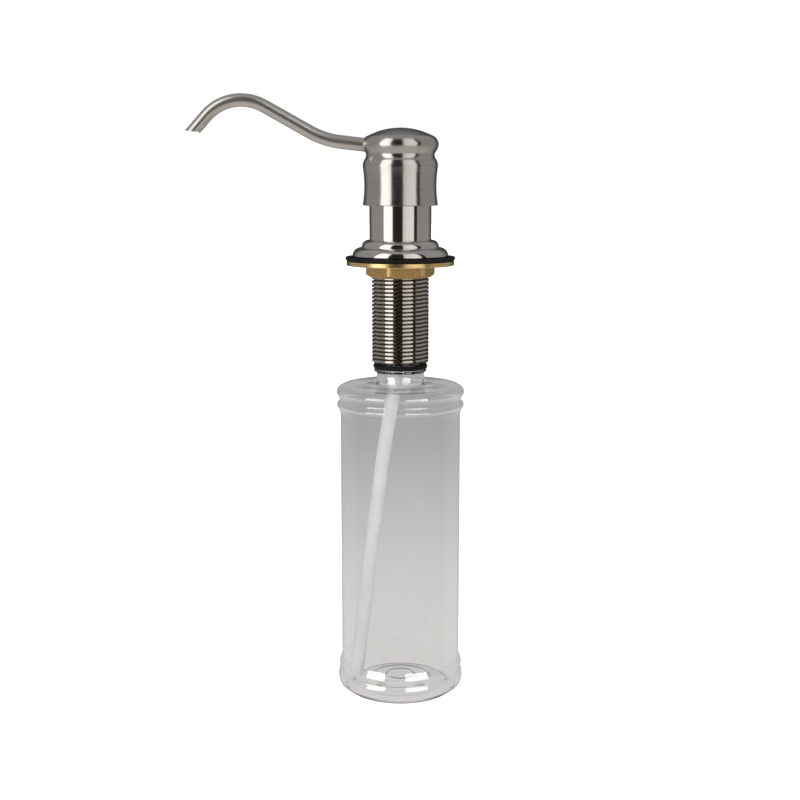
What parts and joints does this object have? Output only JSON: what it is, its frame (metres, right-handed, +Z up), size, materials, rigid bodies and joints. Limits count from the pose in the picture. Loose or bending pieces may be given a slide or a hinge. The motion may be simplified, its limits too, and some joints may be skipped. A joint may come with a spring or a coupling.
{
  "type": "soap pump dispenser",
  "caption": "Deck-mounted soap pump with a swan-neck spout on a flanged threaded shank, a clear bottle screwed in below and a pump that lifts out from above.",
  "frame": {"origin": "on the pump's axis at the deck plane, which is the underside of the black deck gasket", "axes": "+Z up along the pump's axis, -X towards the spout's tip, +Y to the back"},
  "size_m": [0.1282, 0.0598, 0.2803],
  "materials": {
    "brushed_nickel": "brushed nickel, fine circular grain",
    "plated_thread": "bright nickel plate",
    "brass_turned": "turned, fine lathe lines",
    "brass_rough": "rough, grit blasted",
    "rubber_black": "matte black rubber",
    "clear_plastic": "clear blown plastic",
    "white_plastic": "moulded white polypropylene",
    "tube_plastic": "translucent extruded tube",
    "stainless": "polished stainless steel"
  },
  "bodies": {
    "root": {"deck_gasket": "rubber_black", "flange": "brushed_nickel", "sleeve": "brushed_nickel", "threaded_shank": "plated_thread"},
    "washer": {"lock_washer": "brass_turned"},
    "nut": {"lock_nut": "brass_rough"},
    "seal": {"neck_seal": "rubber_black"},
    "bottle": {"bottle": "clear_plastic"},
    "pump": {"pump_collar": "white_plastic", "pump_housing": "white_plastic", "housing_gasket": "rubber_black", "stem_guide": "white_plastic", "valve_retainer": "white_plastic", "dip_tube": "tube_plastic", "return_spring": "stainless"},
    "inlet_valve": {"inlet_ball": "stainless"},
    "plunger": {"piston_stem": "white_plastic", "piston_cup": "rubber_black"},
    "outlet_valve": {"outlet_ball": "stainless"},
    "head": {"head_shell": "brushed_nickel", "head_core": "white_plastic", "spout_tube": "brushed_nickel", "spout_seal": "rubber_black"}
  },
  "joints": [
    {"name": "washer_slide", "type": "slide", "parent": "root", "child": "washer", "axis": [0, 0, -1], "range_m": [0, 0.03265]},
    {"name": "nut_turn", "type": "hinge", "parent": "washer", "child": "nut", "pos_m": [0, 0, -0.0052], "axis": [0, 0, -1], "range_deg": [0, 6480]},
    {"name": "bottle_drop", "type": "slide", "parent": "root", "child": "seal", "axis": [0, 0, -1], "range_m": [0, 0.012]},
    {"name": "bottle_turn", "type": "hinge", "parent": "seal", "child": "bottle", "pos_m": [0, 0, -0.0518], "axis": [0, 0, -1], "range_deg": [0, 1440]},
    {"name": "pump_lift", "type": "slide", "parent": "root", "child": "pump", "axis": [0, 0, 1], "range_m": [0, 0.26], "deforming": ["dip_tube"]},
    {"name": "inlet_valve_lift", "type": "slide", "parent": "pump", "child": "inlet_valve", "axis": [0, 0, 1], "range_m": [0, 0.0012]},
    {"name": "head_press", "type": "slide", "parent": "pump", "child": "plunger", "axis": [0, 0, -1], "range_m": [0, 0.013], "stiffness_N_per_m": 400, "springref_m": -0.0075, "deforming": ["return_spring"]},
    {"name": "outlet_valve_lift", "type": "slide", "parent": "plunger", "child": "outlet_valve", "axis": [0, 0, 1], "range_m": [0, 0.0015]},
    {"name": "head_swivel", "type": "hinge", "parent": "plunger", "child": "head", "pos_m": [0, 0, 0.05], "axis": [0, 0, 1], "continuous": true}
  ],
  "couplings": [
    {"joint": "nut_turn", "follows": "washer_slide", "rad_per_m": 3463.7},
    {"joint": "bottle_turn", "follows": "bottle_drop", "rad_per_m": 2094.4}
  ]
}
